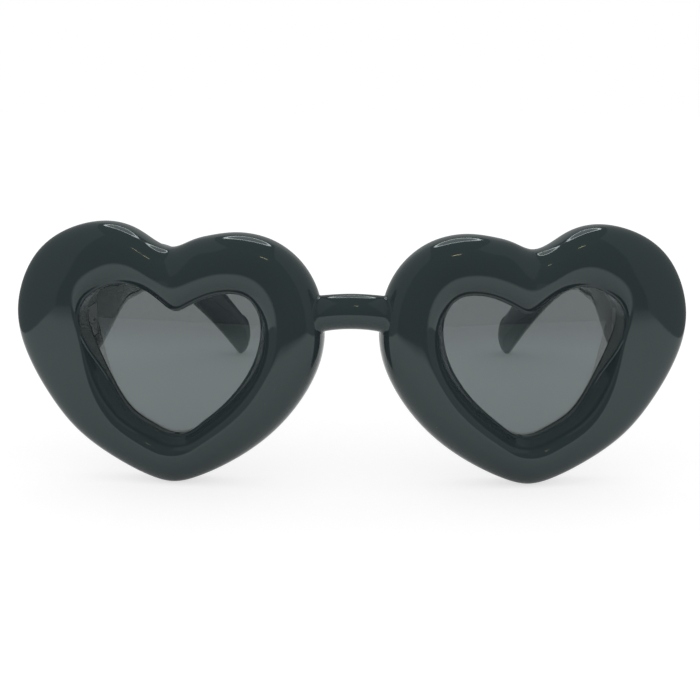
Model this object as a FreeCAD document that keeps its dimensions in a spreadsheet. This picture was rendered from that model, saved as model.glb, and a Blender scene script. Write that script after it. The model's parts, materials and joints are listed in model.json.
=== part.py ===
# Heart shaped sunglasses with puffed hollow rims, flat smoke lenses and folding temples.
#
# X runs to the viewer's right, Y to the back (towards the ear tips) and Z up.
# The glasses stand on the two heart points and the two temple tips, with both temples a little folded in.
# Each side is drawn once, for the right-hand heart, and mirrored. A heart is drawn in its own flat frame
# (X along the heart, Y behind its widest outline) and then swept back by the wrap angle about the middle.

import FreeCAD, Part
import math
import os

Vector = FreeCAD.Vector
Placement = FreeCAD.Placement
Rotation = FreeCAD.Rotation
UP = Vector(0, 0, 1)
BACK = Vector(0, 1, 0)
SIDEWAYS = Vector(1, 0, 0)

doc = FreeCAD.newDocument("heart_sunglasses")
sheet = doc.addObject("Spreadsheet::Sheet", "Sizes")

SIZES = (
    # The hearts
    ("heart_width", 69.5, "width of one heart"),
    ("heart_height", 59.0, "height of one heart"),
    ("hearts_gap", 12.2, "least gap between the two hearts"),
    ("wrap_angle", 7.0, "angle by which each heart is swept back"),
    ("rim_nose", 13.9, "breadth of the rim at the heart's nose side"),
    ("rim_outer", 15.2, "breadth of the rim at the heart's outer side"),
    ("rim_foot", 10.9, "breadth of the rim at the heart's point"),
    ("rim_top", 13.5, "breadth of the rim at the heart's top"),
    # The puffed rim
    ("rim_roll_angle", 60.0, "angle that the puffed section rolls past its ridge into the opening"),
    ("rim_wall", 2.0, "wall of the hollow rim"),
    ("opening_wall", 1.8, "wall round the lens opening"),
    ("back_depth", 5.5, "depth of the flat back behind the widest outline"),
    ("back_round", 2.4, "breadth of the rounding at the back edge"),
    ("seam_depth", 3.7, "depth of the seam between front and back cover"),
    ("seam_lip", 1.2, "thickness of the lip that centres the back cover"),
    ("seam_lip_reach", 1.5, "how far that lip stands into the front"),
    ("seam_play", 0.1, "play round that lip"),
    # The lenses
    ("lens_seat", 1.3, "depth of the lens seat behind the widest outline"),
    ("lens_thickness", 1.8, "thickness of the lens"),
    ("lens_overlap", 1.4, "how far the lens reaches behind the rim"),
    ("lens_play", 0.1, "play round the lens"),
    ("collar_wall", 0.8, "wall of the collar that holds the lens's edge"),
    ("collar_gap", 0.4, "gap between that collar and the front"),
    ("lens_lip", 0.7, "how far the lip behind the lens is set back from the opening"),
    ("lip_bevel", 0.8, "bevel round the back of the opening"),
    # The bridge
    ("bridge_centre", 40.45, "height of the bridge's middle"),
    ("bridge_height", 7.8, "height of the bridge's section"),
    ("bridge_depth", 7.6, "depth of the bridge's section"),
    ("bridge_flare", 0.35, "how much the bridge's radius grows at its roots"),
    ("bridge_forward", 1.8, "how far the bridge's middle stands in front of the widest outline"),
    ("bridge_bow", 2.3, "how far the bridge bows back at its roots"),
    ("bridge_arch", 1.3, "how far the bridge falls at its roots"),
    ("bridge_root", 2.6, "how far the bridge's roots reach into the hearts"),
    # The moulded nose pads
    ("nose_pad_height", 25.0, "height of the nose pad's middle"),
    ("nose_pad_inset", 7.4, "nose pad's middle from the heart's nose side"),
    ("nose_pad_length", 17.0, "length of the nose pad"),
    ("nose_pad_width", 6.4, "width of the nose pad"),
    ("nose_pad_stand", 3.4, "how far the nose pad stands off the back"),
    ("nose_pad_lean_angle", 24.0, "lean of the nose pad along the nose"),
    ("pad_sink", 0.5, "how far moulded pads are sunk into the back cover"),
    # The hinges
    ("hinge_height", 33.0, "height of the hinge's middle"),
    ("hinge_inset", 11.4, "hinge axis from the heart's outer side"),
    ("seat_stand", 5.0, "how far the temple seat stands off the back"),
    ("seat_margin", 0.4, "margin of the temple seat round the temple"),
    ("open_gap", 0.3, "gap between the seat and the open temple"),
    ("barrel_radius", 1.5, "outer radius of the hinge barrels"),
    ("barrel_length", 1.5, "length of one hinge barrel"),
    ("barrel_play", 0.1, "play along the axis between barrels"),
    ("barrel_room", 0.35, "room round the barrels"),
    ("leaf_thickness", 1.2, "thickness of the hinge leaves"),
    ("leaf_play", 0.1, "play round the edge of a leaf"),
    ("leaf_setback", 1.9, "start of a leaf's plate from the axis"),
    ("front_leaf_length", 5.2, "length of the front leaf's plate"),
    ("temple_leaf_length", 9.6, "length of the temple leaf's plate"),
    ("pin_radius", 0.7, "radius of the hinge screw"),
    ("pin_play", 0.05, "running clearance of the hinge screw"),
    ("pin_head_radius", 1.25, "radius of the hinge screw's head"),
    ("pin_head_height", 0.8, "height of the hinge screw's head"),
    ("pin_tail", 0.3, "screw end below the last barrel"),
    ("screw_radius", 0.5, "radius of the leaf screws"),
    ("screw_head_radius", 0.95, "radius of the leaf screws' sunk heads"),
    ("screw_head_height", 0.5, "height of the leaf screws' sunk heads"),
    ("screw_spacing", 3.8, "distance between the two screws of the front leaf"),
    ("temple_screw_spacing", 5.0, "distance between the two screws of the temple leaf"),
    ("front_screw_bite", 3.0, "length of screw in the back cover"),
    ("temple_screw_bite", 3.0, "length of screw in the temple"),
    # The temples
    ("temple_length", 141.0, "length of the temple behind the hinge axis"),
    ("temple_root_low", 21.8, "height of the root's lower edge"),
    ("temple_root_high", 45.0, "height of the root's upper edge"),
    ("temple_root_thickness", 8.4, "thickness of the root"),
    ("temple_flat", 0.7, "depth of the flat on the root's inner side"),
    ("temple_arm_low", 31.6, "height of the arm's lower edge"),
    ("temple_arm_high", 43.8, "height of the arm's upper edge"),
    ("temple_arm_thickness", 6.2, "thickness of the arm"),
    ("temple_root_length", 10.0, "length of the root before its taper"),
    ("temple_flare_length", 36.0, "length of the taper from the root to the arm"),
    ("temple_bend", 64.0, "distance of the ear bend behind the hinge axis"),
    ("temple_tip_height", 12.6, "upright height of the tip"),
    ("temple_tip_round", 4.0, "length of the tip's rounded end"),
    ("temple_tip_thickness", 5.2, "thickness of the tip"),
    ("temple_tip_inward", 10.2, "how far the tip curves in towards the head"),
    ("left_fold_angle", 9.2, "how far the left temple is folded in as it stands"),
    ("right_fold_angle", 3.0, "how far the right temple is folded in as it stands"),
)
for row, (alias, value, note) in enumerate(SIZES, start=1):
    sheet.set(f"A{row}", note)
    sheet.set(f"B{row}", str(value))
    sheet.setAlias(f"B{row}", alias)
doc.recompute()


def size(expression):
    """Value of an expression on the sheet's sizes, in millimetres or degrees."""
    return float(sheet.evalExpression(expression))


# The heart's outline and its opening, point against point round the rim, clockwise from the cleft.
# Each row holds percent of the heart's width and height, then percent of the opening's width and height,
# counted from the nose side and from the foot.
HEART_ROUND = (
    (49.2, 90.7, 47.1, 83.4),
    (55.0, 92.6, 54.6, 88.6),
    (61.0, 97.0, 62.7, 95.5),
    (70.4, 100.0, 75.7, 100.0),
    (83.2, 96.8, 87.2, 97.4),
    (93.3, 87.8, 95.5, 91.3),
    (100.0, 66.9, 100.0, 78.9),
    (96.8, 47.3, 96.2, 60.5),
    (90.0, 32.5, 88.1, 39.1),
    (79.7, 17.8, 75.7, 15.3),
    (66.8, 7.3, 63.0, 5.2),
    (57.5, 2.1, 56.0, 1.2),
    (49.3, 0.0, 49.8, 0.0),
    (41.2, 2.3, 43.2, 1.3),
    (32.0, 7.5, 35.8, 7.2),
    (18.8, 18.3, 23.1, 20.0),
    (9.5, 30.1, 12.1, 35.0),
    (3.3, 42.3, 4.5, 51.2),
    (0.0, 60.0, 0.0, 73.2),
    (5.6, 82.9, 3.3, 88.9),
    (15.3, 93.1, 8.7, 94.1),
    (27.7, 96.7, 17.7, 95.5),
    (36.7, 95.5, 28.5, 92.9),
    (43.4, 93.2, 39.5, 86.8),
)
NOSE_SIDE = size("hearts_gap / 2")
OPENING_SIDE = NOSE_SIDE + size("rim_nose")
OPENING_WIDTH = size("heart_width - rim_nose - rim_outer")
OPENING_HEIGHT = size("heart_height - rim_foot - rim_top")
OUTLINE = []
OPENING = []
for across, upward, opening_across, opening_upward in HEART_ROUND:
    OUTLINE.append(Vector(NOSE_SIDE + size("heart_width") * across / 100, 0,
                          size("heart_height") * upward / 100))
    OPENING.append(Vector(OPENING_SIDE + OPENING_WIDTH * opening_across / 100, 0,
                          size("rim_foot") + OPENING_HEIGHT * opening_upward / 100))
INWARD = [(inner - outer).normalize() for outer, inner in zip(OUTLINE, OPENING)]
RIM_WIDTH = [(inner - outer).Length for outer, inner in zip(OUTLINE, OPENING)]
ROLL = math.radians(size("rim_roll_angle"))
PUFF_RADIUS = [width / (1 + math.sin(ROLL)) for width in RIM_WIDTH]


def along(points):
    """Distance of each point from the first, along the straight lines between them."""
    distances = [0.0]
    for start, end in zip(points, points[1:]):
        distances.append(distances[-1] + (end - start).Length)
    return distances


RIM_MIDDLE = [(outer + inner) / 2 for outer, inner in zip(OUTLINE, OPENING)]
ROUND_THE_RIM = along(RIM_MIDDLE + RIM_MIDDLE[:1])


def closed_curve(points):
    """Smooth closed curve through one point for each place round the rim."""
    curve = Part.BSplineCurve()
    curve.interpolate(Points=points, PeriodicFlag=True, Parameters=ROUND_THE_RIM)
    return curve


def from_outline(inset, depth):
    """Curve round the rim, inset from the outline, at one depth behind it."""
    return closed_curve([point + inward * inset + BACK * depth for point, inward in zip(OUTLINE, INWARD)])


def from_opening(inset, depth):
    """Curve round the rim, set back from the opening into the rim, at one depth."""
    return closed_curve([point - inward * inset + BACK * depth for point, inward in zip(OPENING, INWARD)])


def on_puff(angle, wall):
    """Curve on the puffed section, or a wall inside it, at an angle from the widest outline to the front."""
    points = []
    for point, inward, radius in zip(OUTLINE, INWARD, PUFF_RADIUS):
        across = radius - (radius - wall) * math.cos(angle)
        forward = (radius - wall) * math.sin(angle)
        points.append(point + inward * across - BACK * forward)
    return closed_curve(points)


def on_back_edge(angle):
    """Curve on the rounded back edge, at an angle from the widest outline towards the back."""
    inset = size("back_round") * (1 - math.cos(angle))
    return from_outline(inset, size("back_depth") * math.sin(angle))


def hollow_edge():
    """Curve where the hollow inside the puff meets the wall round the opening."""
    wall = size("rim_wall")
    points = []
    for point, inward, radius, width in zip(OUTLINE, INWARD, PUFF_RADIUS, RIM_WIDTH):
        across = width - size("opening_wall")
        forward = math.sqrt((radius - wall) ** 2 - (across - radius) ** 2)
        points.append(point + inward * across - BACK * forward)
    return closed_curve(points)


PATCHES = 8


def skin(curves):
    """Faces through curves round the rim: straight between two of them, smooth through more."""
    columns = list(zip(*[curve.getPoles() for curve in curves]))
    if len(curves) == 2:
        rows = [list(column) for column in columns]
        across_degree, across_knots, across_mults = 1, [0, 1], [2, 2]
    else:
        rows = []
        across_rim = along(columns[0])
        for column in columns:
            line = Part.BSplineCurve()
            line.interpolate(Points=list(column), Parameters=across_rim)
            rows.append(line.getPoles())
            across_degree = line.Degree
            across_knots = line.getKnots()
            across_mults = line.getMultiplicities()
    first = curves[0]
    patch_length = len(HEART_ROUND) // PATCHES
    faces = []
    for patch in range(PATCHES):
        surface = Part.BSplineSurface()
        surface.buildFromPolesMultsKnots(rows, first.getMultiplicities(), across_mults, first.getKnots(),
                                         across_knots, True, False, first.Degree, across_degree)
        surface.segment(ROUND_THE_RIM[patch * patch_length], ROUND_THE_RIM[(patch + 1) * patch_length],
                        across_knots[0], across_knots[-1])
        faces.append(surface.toShape())
    return faces


def ring(bands):
    """Closed ring whose section is a chain of bands: lists of curves, each from where the last ended."""
    faces = []
    for band in bands:
        faces += skin(band)
    shell = Part.makeShell(faces)
    shell.sewShape()
    solid = Part.makeSolid(shell)
    if solid.Volume < 0:
        solid.reverse()
    return solid


def add_feature(name, shape):
    feature = doc.addObject("Part::Feature", name)
    feature.Shape = shape
    return feature


def chain(curves):
    """Bands, straight between each curve and the next."""
    return [[curves[index], curves[index + 1]] for index in range(len(curves) - 1)]


# Front half of a rim: puffed skin, wall of the opening, lens seat and the hollow behind them
SEAM_ANGLE = math.asin(size("seam_depth / back_depth"))
EDGE_ANGLE = math.pi / 2 + ROLL
PUFF_STEPS = 6
HOLLOW_STEPS = 4
puff_curves = [on_back_edge(SEAM_ANGLE), on_back_edge(SEAM_ANGLE / 2)]
puff_curves += [on_puff(EDGE_ANGLE * step / PUFF_STEPS, 0) for step in range(PUFF_STEPS + 1)]
opening_front = puff_curves[-1]
seat_edge = from_opening(0, size("lens_seat"))
seat_back = from_opening(size("opening_wall"), size("lens_seat"))
hollow_curves = [hollow_edge()]
hollow_curves += [on_puff(EDGE_ANGLE * (1 - step / HOLLOW_STEPS), size("rim_wall"))
                  for step in range(1, HOLLOW_STEPS + 1)]
seam_inside = from_outline(size("rim_wall"), size("seam_depth"))
rim_bands = [puff_curves]
rim_bands += chain([opening_front, seat_edge, seat_back, hollow_curves[0]])
rim_bands += [hollow_curves]
rim_bands += chain([hollow_curves[-1], seam_inside, puff_curves[0]])
rim_right = add_feature("rim_right", ring(rim_bands))

# The hollow itself, which trims the bridge's roots
hollow_bands = [hollow_curves]
hollow_bands += chain([hollow_curves[-1], seam_inside, from_opening(size("opening_wall"), size("seam_depth")),
                       hollow_curves[0]])
hollow_right = add_feature("hollow_right", ring(hollow_bands))

# Back cover: rounded edge, flat back, lip and collar that hold the lens, and the lip that centres the cover
COVER_STEPS = 3
cover_edge = [on_back_edge(SEAM_ANGLE + (math.pi / 2 - SEAM_ANGLE) * step / COVER_STEPS)
              for step in range(COVER_STEPS + 1)]
lens_back = size("lens_seat + lens_thickness")
pocket_inset = size("lens_overlap + lens_play")
collar_outside = size("lens_overlap + lens_play + collar_wall")
collar_front = size("lens_seat + collar_gap")
lip_outside = size("rim_wall + seam_play")
lip_inside = size("rim_wall + seam_play + seam_lip")
lip_front = size("seam_depth - seam_lip_reach")
cover_bands = [cover_edge]
cover_bands += chain([
    cover_edge[-1],
    from_opening(size("lens_lip + lip_bevel"), size("back_depth")),
    from_opening(size("lens_lip"), size("back_depth - lip_bevel")),
    from_opening(size("lens_lip"), lens_back),
    from_opening(pocket_inset, lens_back),
    from_opening(pocket_inset, collar_front),
    from_opening(collar_outside, collar_front),
    from_opening(collar_outside, size("seam_depth")),
    from_outline(lip_inside, size("seam_depth")),
    from_outline(lip_inside, lip_front),
    from_outline(lip_outside, lip_front),
    from_outline(lip_outside, size("seam_depth")),
    cover_edge[0],
])
cover_ring = add_feature("cover_ring", ring(cover_bands))

# Places of the hinge: its axis and the temple's root, in the heart's frame and in the whole model's
WRAP = Placement(Vector(), Rotation(UP, size("wrap_angle")))
SEAT_FACE = size("back_depth + seat_stand")
AXIS_IN_HEART = Vector(NOSE_SIDE + size("heart_width - hinge_inset"), SEAT_FACE + size("open_gap"), 0)
AXIS = WRAP.multVec(AXIS_IN_HEART)
FRONT_BARRELS = 3
TEMPLE_BARRELS = 2
LEAF_HEIGHT = (FRONT_BARRELS + TEMPLE_BARRELS) * size("barrel_length")
LEAF_FOOT = size("hinge_height") - LEAF_HEIGHT / 2
FLAT_SIDE = AXIS.x + size("barrel_radius - leaf_thickness")
TEMPLE_MIDDLE = FLAT_SIDE - size("temple_flat") + size("temple_root_thickness / 2")
ROOT_MIDDLE = size("(temple_root_low + temple_root_high) / 2")
ROOM_FOOT = LEAF_FOOT - size("pin_tail + barrel_room")
ROOM_TOP = LEAF_FOOT + LEAF_HEIGHT + size("pin_head_height + barrel_room")


def box(name, low, high):
    """Box between two corners."""
    solid = doc.addObject("Part::Box", name)
    solid.Length, solid.Width, solid.Height = high - low
    solid.Placement = Placement(low, Rotation())
    return solid


def cylinder(name, radius, length, base, direction):
    """Cylinder whose radius is an expression on the sheet, along a direction from its base."""
    solid = doc.addObject("Part::Cylinder", name)
    solid.setExpression("Radius", radius)
    solid.Height = length
    solid.Placement = Placement(base, Rotation(UP, direction))
    return solid


def fuse(name, shapes):
    joined = doc.addObject("Part::MultiFuse", name)
    joined.Shapes = shapes
    return joined


def cut(name, base, tools):
    """Base less one or more tools."""
    result = doc.addObject("Part::Cut", name)
    result.Base = base
    result.Tool = tools[0] if len(tools) == 1 else fuse(name + "_tools", tools)
    return result


def mirrored(name, source):
    copy = doc.addObject("Part::Mirroring", name)
    copy.Source = source
    copy.Normal = SIDEWAYS
    return copy


def body_sketch(body, name, plane, offset):
    """Empty sketch on one of the body's origin planes, moved along the plane's normal."""
    sketch = body.newObject("Sketcher::SketchObject", name)
    origin_plane = [item for item in body.Origin.OriginFeatures if item.Role == plane][0]
    sketch.AttachmentSupport = [(origin_plane, "")]
    sketch.MapMode = "FlatFace"
    sketch.AttachmentOffset = Placement(Vector(0, 0, offset), Rotation())
    return sketch


def add_ellipse(sketch, centre, half_across, half_up):
    """Ellipse in a sketch, its long axis along the longer half."""
    across = centre + Vector(half_across, 0, 0)
    upward = centre + Vector(0, half_up, 0)
    if half_up > half_across:
        sketch.addGeometry(Part.Ellipse(upward, across, centre))
    else:
        sketch.addGeometry(Part.Ellipse(across, upward, centre))


def loft(body, name, sketches):
    feature = body.newObject("PartDesign::AdditiveLoft", name)
    feature.Profile = sketches[0]
    feature.Sections = sketches[1:]
    return feature


# Front moulding: both rims and the bridge, which bows forward, arches up and flares into the hearts
for feature in (rim_right, hollow_right):
    feature.Placement = WRAP
rim_left = mirrored("rim_left", rim_right)
hollow_left = mirrored("hollow_left", hollow_right)
bridge_body = doc.addObject("PartDesign::Body", "bridge_body")
BRIDGE_HALF = NOSE_SIDE + size("bridge_root")
BRIDGE_STEPS = 3
BRIDGE_FLARE_CURVE = 3
bridge_sketches = []
for step in range(-BRIDGE_STEPS, BRIDGE_STEPS + 1):
    place = BRIDGE_HALF * step / BRIDGE_STEPS
    flare = size("bridge_flare") * abs(step / BRIDGE_STEPS) ** BRIDGE_FLARE_CURVE
    fall = (step / BRIDGE_STEPS) ** 2
    middle = Vector(size("bridge_bow") * fall - size("bridge_forward"),
                    size("bridge_centre") - size("bridge_arch") * fall)
    sketch = body_sketch(bridge_body, f"bridge_section_{step + BRIDGE_STEPS}", "YZ_Plane", place)
    add_ellipse(sketch, middle, size("bridge_depth / 2") + flare, size("bridge_height / 2") + flare)
    bridge_sketches.append(sketch)
loft(bridge_body, "bridge_loft", bridge_sketches)
bridge = cut("bridge", bridge_body, [hollow_right, hollow_left])
front_moulding = fuse("front_moulding", [rim_right, rim_left, bridge])

# Lens: a flat plate a little larger than the opening
lens_outline = add_feature("lens_outline", from_opening(size("lens_overlap"), size("lens_seat")).toShape())
lens_right = doc.addObject("Part::Extrusion", "lens_right")
lens_right.Base = lens_outline
lens_right.DirMode = "Custom"
lens_right.Dir = BACK
lens_right.Solid = True
lens_right.setExpression("LengthFwd", "Sizes.lens_thickness")
lens_right.Placement = WRAP


# Screws: a shank and a flat head sunk flush, so that the screw also cuts its own seat
def leaf_screws(name, heads, inward, bite):
    """Two screws, each from the middle of its head's outer face."""
    screws = []
    head_height = size("screw_head_height")
    length = size("leaf_thickness") + bite
    for index, head in enumerate(heads):
        cap = cylinder(f"{name}_head_{index}", "Sizes.screw_head_radius", head_height, head, inward)
        shank = cylinder(f"{name}_shank_{index}", "Sizes.screw_radius", length, head, inward)
        screws.append(fuse(f"{name}_{index}", [cap, shank]))
    group = doc.addObject("Part::Compound", name)
    group.Links = screws
    return group


FRONT_PLATE = AXIS_IN_HEART.x + size("leaf_setback")
front_screw_middle = Vector(FRONT_PLATE + size("front_leaf_length / 2"), SEAT_FACE, size("hinge_height"))
front_screws_right = leaf_screws(
    "front_leaf_screws_right",
    [front_screw_middle + UP * (side * size("screw_spacing / 2")) for side in (-1, 1)],
    -BACK, size("front_screw_bite"))
TEMPLE_PLATE = AXIS.y + size("leaf_setback")
temple_screw_middle = Vector(FLAT_SIDE, TEMPLE_PLATE + size("temple_leaf_length / 2"), size("hinge_height"))
temple_screws_right = leaf_screws(
    "temple_leaf_screws_right",
    [temple_screw_middle + BACK * (side * size("temple_screw_spacing / 2")) for side in (-1, 1)],
    SIDEWAYS, size("temple_screw_bite"))

# Back cover: the ring with the temple seat and the nose pad, cut for the hinge
seat_outline = doc.addObject("Part::Ellipse", "seat_outline")
seat_outline.setExpression(
    "MajorRadius", "(Sizes.temple_root_high - Sizes.temple_root_low) / 2 + Sizes.seat_margin")
seat_outline.setExpression("MinorRadius", "Sizes.temple_root_thickness / 2 + Sizes.seat_margin")
wrap_radians = math.radians(size("wrap_angle"))
seat_across = (TEMPLE_MIDDLE + SEAT_FACE * math.sin(wrap_radians)) / math.cos(wrap_radians)
seat_outline.Placement = Placement(
    Vector(seat_across, size("back_depth - pad_sink"), ROOT_MIDDLE), Rotation(UP, SIDEWAYS, BACK, "XZY"))
temple_seat = doc.addObject("Part::Extrusion", "temple_seat")
temple_seat.Base = seat_outline
temple_seat.DirMode = "Custom"
temple_seat.Dir = BACK
temple_seat.Solid = True
temple_seat.setExpression("LengthFwd", "Sizes.seat_stand + Sizes.pad_sink")
nose_pad = doc.addObject("Part::Ellipsoid", "nose_pad")
nose_pad.setExpression("Radius1", "Sizes.nose_pad_stand + Sizes.pad_sink")
nose_pad.setExpression("Radius2", "Sizes.nose_pad_length / 2")
nose_pad.setExpression("Radius3", "Sizes.nose_pad_width / 2")
nose_pad.Angle1 = 0
nose_lean = math.radians(size("nose_pad_lean_angle"))
along_nose = Vector(-math.sin(nose_lean), 0, math.cos(nose_lean))
nose_pad.Placement = Placement(
    Vector(NOSE_SIDE + size("nose_pad_inset"), size("back_depth - pad_sink"), size("nose_pad_height")),
    Rotation(along_nose, BACK.cross(along_nose), BACK, "ZXY"))
leaf_play = size("leaf_play")
front_leaf_pocket = box(
    "front_leaf_pocket",
    Vector(AXIS_IN_HEART.x, SEAT_FACE - size("leaf_thickness"), LEAF_FOOT - leaf_play),
    Vector(FRONT_PLATE + size("front_leaf_length") + leaf_play, SEAT_FACE + size("open_gap"),
           LEAF_FOOT + LEAF_HEIGHT + leaf_play))
front_barrel_room = cylinder("front_barrel_room", "Sizes.barrel_radius + Sizes.barrel_room",
                             ROOM_TOP - ROOM_FOOT, AXIS_IN_HEART + UP * ROOM_FOOT, UP)
cover_blank = fuse("cover_blank", [cover_ring, temple_seat, nose_pad])
cover_undrilled = cut("cover_undrilled", cover_blank, [front_leaf_pocket, front_barrel_room])
for feature in (cover_undrilled, front_screws_right):
    feature.Placement = WRAP
cover_right = cut("back_cover_right", cover_undrilled, [front_screws_right])


# Hinge leaves: a plate, and barrels whose necks run flush with the plate
def knuckle_profile(sketch, axis, along, outward):
    """Barrel round the axis with a neck: the neck's outer face touches the barrel on the outward side."""
    radius = size("barrel_radius")
    neck_inside = radius - size("leaf_thickness")
    neck_length = size("leaf_setback + leaf_play")
    meet = math.sqrt(radius ** 2 - neck_inside ** 2)
    touch = axis + outward * radius
    corners = [touch, touch + along * neck_length, axis + outward * neck_inside + along * neck_length,
               axis + outward * neck_inside + along * meet]
    for start, end in zip(corners, corners[1:]):
        sketch.addGeometry(Part.LineSegment(start, end))
    far_side = axis - (outward + along).normalize() * radius
    sketch.addGeometry(Part.Arc(corners[-1], far_side, corners[0]))


def hinge_leaf(name, axis, along, outward, plate_length, first_barrel, barrel_length, count):
    """Leaf with its plate along one direction and barrels at every second place up the axis."""
    body = doc.addObject("PartDesign::Body", name + "_body")
    plate_sketch = body_sketch(body, name + "_plate_sketch", "XY_Plane", LEAF_FOOT)
    start = axis + along * size("leaf_setback") + outward * size("barrel_radius - leaf_thickness")
    corners = [start, start + along * plate_length,
               start + along * plate_length + outward * size("leaf_thickness"),
               start + outward * size("leaf_thickness")]
    for first, second in zip(corners, corners[1:] + corners[:1]):
        plate_sketch.addGeometry(Part.LineSegment(first, second))
    plate = body.newObject("PartDesign::Pad", name + "_plate")
    plate.Profile = plate_sketch
    plate.setExpression("Length", f"{FRONT_BARRELS + TEMPLE_BARRELS} * Sizes.barrel_length")
    knuckle_sketch = body_sketch(body, name + "_knuckle_sketch", "XY_Plane", LEAF_FOOT + first_barrel)
    knuckle_profile(knuckle_sketch, axis, along, outward)
    knuckle = body.newObject("PartDesign::Pad", name + "_knuckle")
    knuckle.Profile = knuckle_sketch
    knuckle.setExpression("Length", barrel_length)
    doc.recompute()
    row_of_knuckles = body.newObject("PartDesign::LinearPattern", name + "_knuckles")
    row_of_knuckles.Originals = [knuckle]
    row_of_knuckles.Direction = (knuckle_sketch, ["N_Axis"])
    row_of_knuckles.setExpression("Length", f"{2 * (count - 1)} * Sizes.barrel_length")
    row_of_knuckles.Occurrences = count
    body.Tip = row_of_knuckles
    bore_sketch = body_sketch(body, name + "_bore_sketch", "XY_Plane", LEAF_FOOT)
    bore_sketch.addGeometry(Part.Circle(axis, UP, size("pin_radius + pin_play")))
    bore = body.newObject("PartDesign::Pocket", name + "_bore")
    bore.Profile = bore_sketch
    bore.Type = "ThroughAll"
    bore.Midplane = True
    body.Tip = bore
    return body


front_leaf_body = hinge_leaf("front_leaf", AXIS_IN_HEART, SIDEWAYS, -BACK, size("front_leaf_length"),
                             0, "Sizes.barrel_length", FRONT_BARRELS)
temple_leaf_body = hinge_leaf("temple_leaf", AXIS, BACK, SIDEWAYS, size("temple_leaf_length"),
                              size("barrel_length + barrel_play / 2"),
                              "Sizes.barrel_length - Sizes.barrel_play", TEMPLE_BARRELS)
front_leaf_body.Placement = WRAP
front_leaf_right = cut("hinge_front_leaf_right", front_leaf_body, [front_screws_right])
temple_leaf_right = cut("hinge_temple_leaf_right", temple_leaf_body, [temple_screws_right])

# Hinge screw: the pin of the hinge, with its head on the top barrel
pin = cylinder("hinge_pin", "Sizes.pin_radius", LEAF_HEIGHT + size("pin_tail"),
               AXIS + UP * (LEAF_FOOT - size("pin_tail")), UP)
pin_head = cylinder("hinge_pin_head", "Sizes.pin_head_radius", size("pin_head_height"),
                    AXIS + UP * (LEAF_FOOT + LEAF_HEIGHT), UP)
hinge_screw_right = fuse("hinge_screw_right", [pin, pin_head])


# Temple: rounded sections from the tall root along the arm, down behind the ear and in towards the head
def ease(share):
    """Smooth step from 0 to 1."""
    share = min(max(share, 0.0), 1.0)
    return share * share * (3 - 2 * share)


def between(first, second, share):
    return first + (second - first) * share


EAR_CURVE = 1.85
INWARD_CURVE = 2
TIP_CORNER = size("temple_length - temple_tip_round")


def temple_section(distance):
    """Middle and half sizes of the temple's upright section at a distance behind the hinge axis."""
    flare = ease((distance - size("temple_root_length")) / size("temple_flare_length"))
    past_bend = max(distance - size("temple_bend"), 0.0)
    drop = (past_bend / (TIP_CORNER - size("temple_bend"))) ** EAR_CURVE
    tip_share = min(past_bend / (TIP_CORNER - size("temple_bend")), 1.0)
    low = between(size("temple_root_low"), size("temple_arm_low"), flare) - size("temple_arm_low") * drop
    arm_height = between(size("temple_root_high"), size("temple_arm_high"), flare)
    arm_height -= between(size("temple_root_low"), size("temple_arm_low"), flare)
    height = between(arm_height, size("temple_tip_height"), tip_share)
    thickness = between(size("temple_root_thickness"), size("temple_arm_thickness"), flare)
    thickness = between(thickness, size("temple_tip_thickness"), tip_share)
    inward = size("temple_tip_inward") * (past_bend / size("temple_length - temple_bend")) ** INWARD_CURVE
    shrink = 1.0
    if distance > TIP_CORNER:
        low = 0.0
        shrink = math.sqrt(1 - ((distance - TIP_CORNER) / size("temple_tip_round")) ** 2)
    middle = Vector(TEMPLE_MIDDLE - inward, low + height / 2)
    return middle, thickness / 2 * shrink, height / 2 * shrink


FLARE_STEPS = 5
DROP_STEPS = 6
TIP_SHARES = (0.45, 0.8, 0.97)
distances = [-size("temple_root_thickness"), 0]
distances += [size("temple_root_length") + size("temple_flare_length") * step / FLARE_STEPS
              for step in range(FLARE_STEPS + 1)]
distances += [between(size("temple_bend"), TIP_CORNER, step / DROP_STEPS) for step in range(DROP_STEPS + 1)]
distances += [TIP_CORNER + size("temple_tip_round") * share for share in TIP_SHARES]
temple_body = doc.addObject("PartDesign::Body", "temple_body")
temple_sketches = []
for index, distance in enumerate(distances):
    middle, half_thickness, half_height = temple_section(distance)
    sketch = body_sketch(temple_body, f"temple_section_{index}", "XZ_Plane", -(AXIS.y + distance))
    add_ellipse(sketch, middle, half_thickness, half_height)
    temple_sketches.append(sketch)
loft(temple_body, "temple_loft", temple_sketches)
reach = size("heart_width")
front_mitre = box("front_mitre", Vector(AXIS_IN_HEART.x - reach / 2, AXIS_IN_HEART.y - reach, -reach),
                  Vector(AXIS_IN_HEART.x + reach / 2, AXIS_IN_HEART.y, 2 * reach))
front_mitre.Placement = WRAP.multiply(front_mitre.Placement)
inner_flat = box("inner_flat", Vector(FLAT_SIDE - reach, AXIS.y - reach, -reach),
                 Vector(FLAT_SIDE, AXIS.y + size("temple_root_length + temple_flare_length"), 2 * reach))
temple_leaf_pocket = box(
    "temple_leaf_pocket",
    Vector(FLAT_SIDE - leaf_play, AXIS.y - leaf_play, LEAF_FOOT - leaf_play),
    Vector(AXIS.x + size("barrel_radius"), TEMPLE_PLATE + size("temple_leaf_length") + leaf_play,
           LEAF_FOOT + LEAF_HEIGHT + leaf_play))
temple_barrel_room = cylinder("temple_barrel_room", "Sizes.barrel_radius + Sizes.barrel_room",
                              ROOM_TOP - ROOM_FOOT, AXIS + UP * ROOM_FOOT, UP)
temple_right = cut("temple_right", temple_body, [front_mitre, inner_flat, temple_leaf_pocket,
                                                 temple_barrel_room, temple_screws_right])
doc.recompute()

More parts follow.
